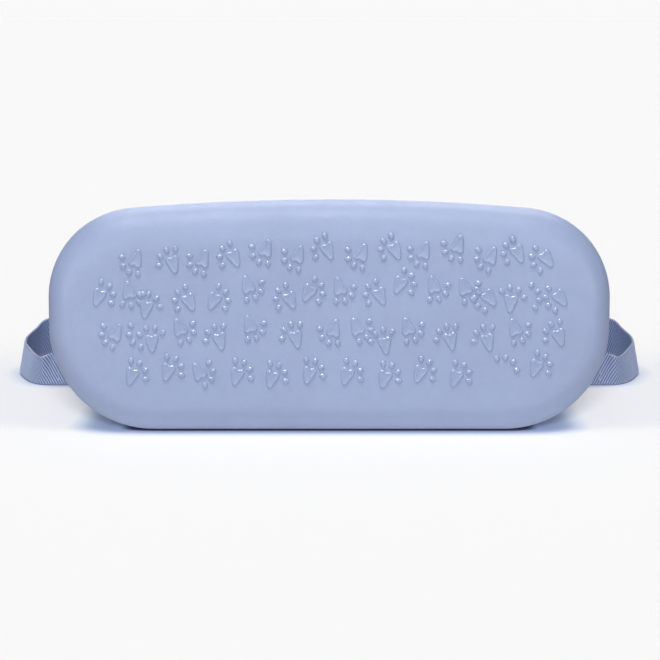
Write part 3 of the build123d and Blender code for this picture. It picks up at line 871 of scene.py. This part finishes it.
def flap_stations():
    """Places around the slot: centre, way outward, sideways shift, flap number, share."""
    across = spaced(FLAP_CUTS, 2 * SLOT_END)
    slits = [(Vector((x, 0)), 90.0) for x in reversed(across)]
    slits += [(Vector((-SLOT_END, 0)), angle) for angle in (135.0, 180.0, 225.0)]
    slits += [(Vector((x, 0)), 270.0) for x in across]
    slits += [(Vector((SLOT_END, 0)), angle) for angle in (315.0, 360.0, 405.0)]
    stations = []
    steps = 6
    for number, (start, turn) in enumerate(slits):
        stop, end_turn = slits[(number + 1) % len(slits)]
        if end_turn < turn:
            end_turn += 360.0
        for step in range(steps + 1):
            share = step / steps
            centre = start.lerp(stop, share)
            angle = math.radians(turn + (end_turn - turn) * share)
            way = Vector((math.cos(angle), math.sin(angle)))
            side = Vector((-way.y, way.x)) * SLIT_HALF * (1 - 2 * share)
            stations.append((centre, way, side, number, share))
    return stations


def membrane():
    """Thin sheet whose inner edge is cut into soft flaps that hang slightly inward."""
    rng = random.Random(11)
    stations = flap_stations()
    count = stations[-1][3] + 1
    curls = [1.5 + rng.uniform(-0.4, 0.5) for i in range(count)]
    outline_points = [(x, z - MOUTH_MIDDLE) for x, z in mouth(MEMBRANE_EDGE + SEAM)]
    reaches = (0.0, 1.0, 2.2, 3.4, 4.6, 5.8, 6.6, 7.0)
    bm = bmesh.new()
    table = []
    for centre, way, side, number, share in stations:
        outer = ray_to_outline(outline_points, centre, way)
        rows = [Vector((outer.x, 0, outer.y))]
        root = centre + way * (SLOT_HALF + FLAP_REACH) + side
        for part in (0.5, 0.85):
            at = Vector((outer.x, outer.y)).lerp(root, part)
            rows.append(Vector((at.x, 0, at.y)))
        edge = abs(2 * share - 1)
        for reach in reaches:
            reach_here = reach * (1 - 0.10 * edge ** 4)
            at = centre + way * (SLOT_HALF + FLAP_REACH - reach_here) + side
            droop = -curls[number] * (reach / FLAP_REACH) ** 1.8 * (1 - 0.12 * edge ** 2)
            rows.append(Vector((at.x, droop, at.y)))
        table.append([bm.verts.new((v.x, MEMBRANE_TOP - 0.12 + v.y, v.z + MOUTH_MIDDLE))
                      for v in rows])
    for i, column in enumerate(table):
        after = table[(i + 1) % len(table)]
        cut = stations[i][4] == 1.0
        for row in range(len(column) - 1):
            if cut and row >= 3:
                continue
            bm.faces.new((column[row], after[row], after[row + 1], column[row + 1]))
    bmesh.ops.recalc_face_normals(bm, faces=bm.faces)
    if sum(face.normal.y for face in bm.faces) < 0:
        bmesh.ops.reverse_faces(bm, faces=bm.faces)
    piece = finish_mesh(bm, "flap_sheet", membrane_silicone, "guard")
    thick = piece.modifiers.new("thickness", "SOLIDIFY")
    thick.thickness = 1.0 * MM
    thick.offset = -1
    return piece


sheet = membrane()
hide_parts("guard_membrane")


# ------------------------------------------------------------------ screws, bars and lugs
def screw(bm, tip, way, length, shank, head, head_height):
    """Shank, chamfered pan head and a hexagon socket; way points from the tip to the head."""
    way = Vector(way)
    side = way.orthogonal().normalized()
    other = way.cross(side)
    sides = 24

    def ring(height, radius, hexagon=False):
        verts = []
        for i in range(sides):
            angle = 2 * math.pi * i / sides
            reach = radius
            if hexagon:
                reach = radius * math.cos(math.pi / 6) / math.cos((angle % (math.pi / 3))
                                                                  - math.pi / 6)
            verts.append(bm.verts.new(Vector(tip) + way * height
                                      + (side * math.cos(angle) + other * math.sin(angle)) * reach))
        return verts

    top = length
    under = length - head_height
    rows = [ring(0.0, shank * 0.7), ring(0.4, shank), ring(under, shank), ring(under, head),
            ring(top - head_height * 0.45, head), ring(top - head_height * 0.15, head * 0.88),
            ring(top, head * 0.72), ring(top, head * 0.50, True),
            ring(top - head_height * 0.6, head * 0.46, True)]
    bridge(bm, rows)
    bm.faces.new(rows[0])
    bm.faces.new(rows[-1])


def smooth_by_angle(piece, degrees=35):
    """Keeps the sharp edges of a machined piece crisp."""
    mesh = piece.data
    mesh.polygons.foreach_set("use_smooth", [True] * len(mesh.polygons))
    mesh.set_sharp_from_angle(angle=math.radians(degrees))


def screw_set(name, node, screws, body):
    bm = bmesh.new()
    for numbers in screws:
        screw(bm, *numbers)
    piece = finish_mesh(bm, name, screw_steel, body, turn_out=True)
    smooth_by_angle(piece)
    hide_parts(node)


def guard_screw_places():
    inset = (MEMBRANE_EDGE + GUARD_BORE) / 2
    places = []
    for x in spaced(4, 120.0):
        places += [(x, inset), (x, MOUTH_HEIGHT - inset + crown_drop(0)(x))]
    end = MOUTH_WIDTH / 2 - inset
    return places + [(end, MOUTH_MIDDLE), (-end, MOUTH_MIDDLE)]


# Screws: shank radius, head radius, head height.
GUARD_SCREW = (1.2, 2.2, 1.3)
LUG_SCREW = (1.5, 2.6, 1.6)
HEAD_PROUD = 0.03

tip_y = LINER_TOP + 0.8
screw_set("guard_screw_set", "guard_screws",
          [((x, tip_y, z), (0, 1, 0), RETAINER_TOP - tip_y + HEAD_PROUD, *GUARD_SCREW)
           for x, z in guard_screw_places()], "guard")

for side, name in ((1, "right"), (-1, "left")):
    low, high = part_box(name + "_anchor_screws")
    low, high = low / MM, high / MM
    inner = low.x if side > 0 else high.x
    outer = high.x if side > 0 else low.x
    screw_set(name + "_lug_screws", name + "_anchor_screws",
              [((inner, BAR_Y + shift, 8.0), (side, 0, 0), abs(outer - inner) + HEAD_PROUD,
                *LUG_SCREW) for shift in (-4.5, 4.5)], "cup")
    for part, material in (("anchor_bar", screw_steel), ("anchor_lug", collar_plastic)):
        node = frame["nodes"][name + "_" + part]
        node.data.materials.clear()
        node.data.materials.append(material)


# ------------------------------------------------------------------ floor, camera, light
CAMERA_DISTANCE = 900.0
CAMERA_HEIGHT = 153.0
CAMERA_PITCH = 7.30
LENS = 137.4

# Floor lamps: the way to each, how wide it is in degrees, and the light it leaves on the floor.
FLOOR_SUNS = (("floor_low_front", (0.0, -1.0, 0.26), 20, (0.500, 0.505, 0.515)),
              ("floor_left", (-0.9, -0.35, 0.30), 30, (0.100, 0.090, 0.067)),
              ("floor_right", (0.9, -0.35, 0.30), 30, (0.100, 0.090, 0.067)),
              ("floor_top", (0.0, -0.3, 1.0), 60, (0.055, 0.048, 0.046)))
FLOOR_PALE = 0.8


def camera():
    data = bpy.data.cameras.new("camera")
    data.lens = LENS
    data.sensor_width = 36.0
    data.clip_start, data.clip_end = 0.05, 200.0
    eye = bpy.data.objects.new("camera", data)
    eye.location = (0.0003, (BASE_Y - CAMERA_DISTANCE) * MM, CAMERA_HEIGHT * MM)
    eye.rotation_euler = (math.radians(90 - CAMERA_PITCH), 0, 0)
    bpy.context.scene.collection.objects.link(eye)
    bpy.context.scene.camera = eye


def floor():
    bm = bmesh.new()
    bmesh.ops.create_grid(bm, x_segments=1, y_segments=1, size=40.0)
    mesh = bpy.data.meshes.new("floor")
    bm.to_mesh(mesh)
    bm.free()
    # The floor's colour holds painted shadow: bluish grey near the product (occlusion within 13 mm)
    # and nearly black along the contact line (within 2.2 mm).
    made = Surface("floor_white_painted_shadow", 1.0, Specular_IOR_Level=0.0)
    near = made.add("ShaderNodeAmbientOcclusion", samples=24)
    near.inputs["Distance"].default_value = 0.013
    pale = (FLOOR_PALE, FLOOR_PALE, FLOOR_PALE, 1)
    shade = made.colours(near.outputs["AO"], [(0.0, (0.22, 0.27, 0.42, 1)),
                                              (0.15, (0.22, 0.27, 0.41, 1)),
                                              (0.42, (0.30, 0.36, 0.50, 1)),
                                              (0.65, (0.60, 0.65, 0.74, 1)),
                                              (0.88, pale)])
    touching = made.add("ShaderNodeAmbientOcclusion", samples=16)
    touching.inputs["Distance"].default_value = 0.0022
    line = made.colours(touching.outputs["AO"], [(0.2, (0.12, 0.12, 0.15, 1)),
                                                 (0.8, (1, 1, 1, 1))])
    painted_floor_shadow = made.add("ShaderNodeMix", data_type="RGBA", blend_type="MULTIPLY")
    painted_floor_shadow.inputs["Factor"].default_value = 1.0
    made.join(shade, painted_floor_shadow.inputs["A"])
    made.join(line, painted_floor_shadow.inputs["B"])
    shade = painted_floor_shadow.outputs["Result"]
    # The painted shadow is seen only by camera rays; every other ray sees the plain pale colour.
    seen = made.add("ShaderNodeLightPath")
    mix = made.add("ShaderNodeMix", data_type="RGBA")
    made.join(seen.outputs["Is Camera Ray"], mix.inputs["Factor"])
    mix.inputs["A"].default_value = pale
    made.join(shade, mix.inputs["B"])
    made.colour(mix.outputs["Result"])
    mesh.materials.append(made.material)
    ground = bpy.data.objects.new("floor", mesh)
    bpy.context.scene.collection.objects.link(ground)


def soft_light(name, place, target, size, energy, colour=(1, 1, 1), only=None):
    data = bpy.data.lights.new(name, "AREA")
    data.shape = "RECTANGLE"
    data.size, data.size_y = size
    data.energy = energy
    data.color = colour
    lamp = bpy.data.objects.new(name, data)
    lamp.location = place
    aim = Vector(target) - Vector(place)
    lamp.rotation_euler = aim.to_track_quat("-Z", "Y").to_euler()
    bpy.context.scene.collection.objects.link(lamp)
    if only:
        lamp.light_linking.receiver_collection = only
    return lamp


def studio():
    ground = bpy.data.objects["floor"]
    ground.visible_glossy = False
    product = bpy.data.collections.new("product")
    bpy.context.scene.collection.children.link(product)
    for thing in list(bpy.context.scene.collection.objects):
        if thing.type == "MESH" and thing is not ground:
            product.objects.link(thing)
    for thing in frame["nodes"].values():
        if thing.name not in product.objects:
            product.objects.link(thing)
    stage = bpy.data.collections.new("stage")
    bpy.context.scene.collection.children.link(stage)
    stage.objects.link(ground)

    world = bpy.data.worlds.new("studio")
    bpy.context.scene.world = world
    world.use_nodes = True
    tree = world.node_tree
    back = tree.nodes["Background"]
    back.inputs["Color"].default_value = (0.947, 0.947, 0.947, 1)
    dim = tree.nodes.new("ShaderNodeBackground")
    dim.inputs["Strength"].default_value = 0.30
    place = tree.nodes.new("ShaderNodeTexCoord")
    split = tree.nodes.new("ShaderNodeSeparateXYZ")
    side = tree.nodes.new("ShaderNodeMath")
    side.operation = "ABSOLUTE"
    ramp = tree.nodes.new("ShaderNodeValToRGB")
    ramp.color_ramp.elements[0].position = 0.45
    ramp.color_ramp.elements[0].color = (0.88, 0.97, 1.15, 1)
    ramp.color_ramp.elements[1].position = 0.95
    ramp.color_ramp.elements[1].color = (0.48, 0.54, 0.66, 1)
    tree.links.new(place.outputs["Generated"], split.inputs[0])
    tree.links.new(split.outputs["X"], side.inputs[0])
    tree.links.new(side.outputs[0], ramp.inputs["Fac"])
    tree.links.new(ramp.outputs["Color"], dim.inputs["Color"])
    ray = tree.nodes.new("ShaderNodeLightPath")
    mix = tree.nodes.new("ShaderNodeMixShader")
    tree.links.new(ray.outputs["Is Camera Ray"], mix.inputs["Fac"])
    tree.links.new(dim.outputs[0], mix.inputs[1])
    tree.links.new(back.outputs[0], mix.inputs[2])
    tree.links.new(mix.outputs[0], tree.nodes["World Output"].inputs["Surface"])

    soft_light("front_fill", (0.0, -1.7, 0.55), (0, 0, 0.03), (1.6, 0.8), 8.2, only=product)
    soft_light("top_key", (-0.12, -0.42, 0.95), (0, -0.03, 0.04), (0.55, 0.25), 6.0, only=product)
    sheen = soft_light("top_sheen", (0.0, 0.35, 0.8), (0, 0, 0.06), (0.9, 0.5), 7.0, only=product)
    sheen.visible_diffuse = False
    raised = bpy.data.collections.new("raised_prints")
    bpy.context.scene.collection.children.link(raised)
    raised.objects.link(prints)
    glint = soft_light("top_glint", (-0.12, -0.34, 1.0), (0, -0.06, 0.04), (0.45, 0.20), 12.0,
                       only=raised)
    glint.visible_diffuse = False
    soft_light("back_fill", (0.0, 1.5, 0.45), (0, 0.05, 0.03), (1.2, 0.6), 9.0, only=product)
    for side in (1, -1):
        strip = soft_light("side_strip", (side * 0.75, -0.75, 0.12),
                           (side * 0.08, -0.03, 0.04), (0.06, 0.5), 2.5, only=product)
        strip.visible_diffuse = False
    # The floor has its own even light, so that it stays as pale as the backdrop.
    for name, way, width, glow in FLOOR_SUNS:
        way = Vector(way).normalized()
        data = bpy.data.lights.new(name, "SUN")
        strength = max(glow)
        data.energy = strength * math.pi / FLOOR_PALE / way.z
        data.angle = math.radians(width)
        data.color = [channel / strength for channel in glow]
        lamp = bpy.data.objects.new(name, data)
        lamp.rotation_euler = (-way).to_track_quat("-Z", "Y").to_euler()
        bpy.context.scene.collection.objects.link(lamp)
        lamp.light_linking.receiver_collection = stage


camera()
floor()
studio()
bpy.context.scene.view_settings.view_transform = "Standard"
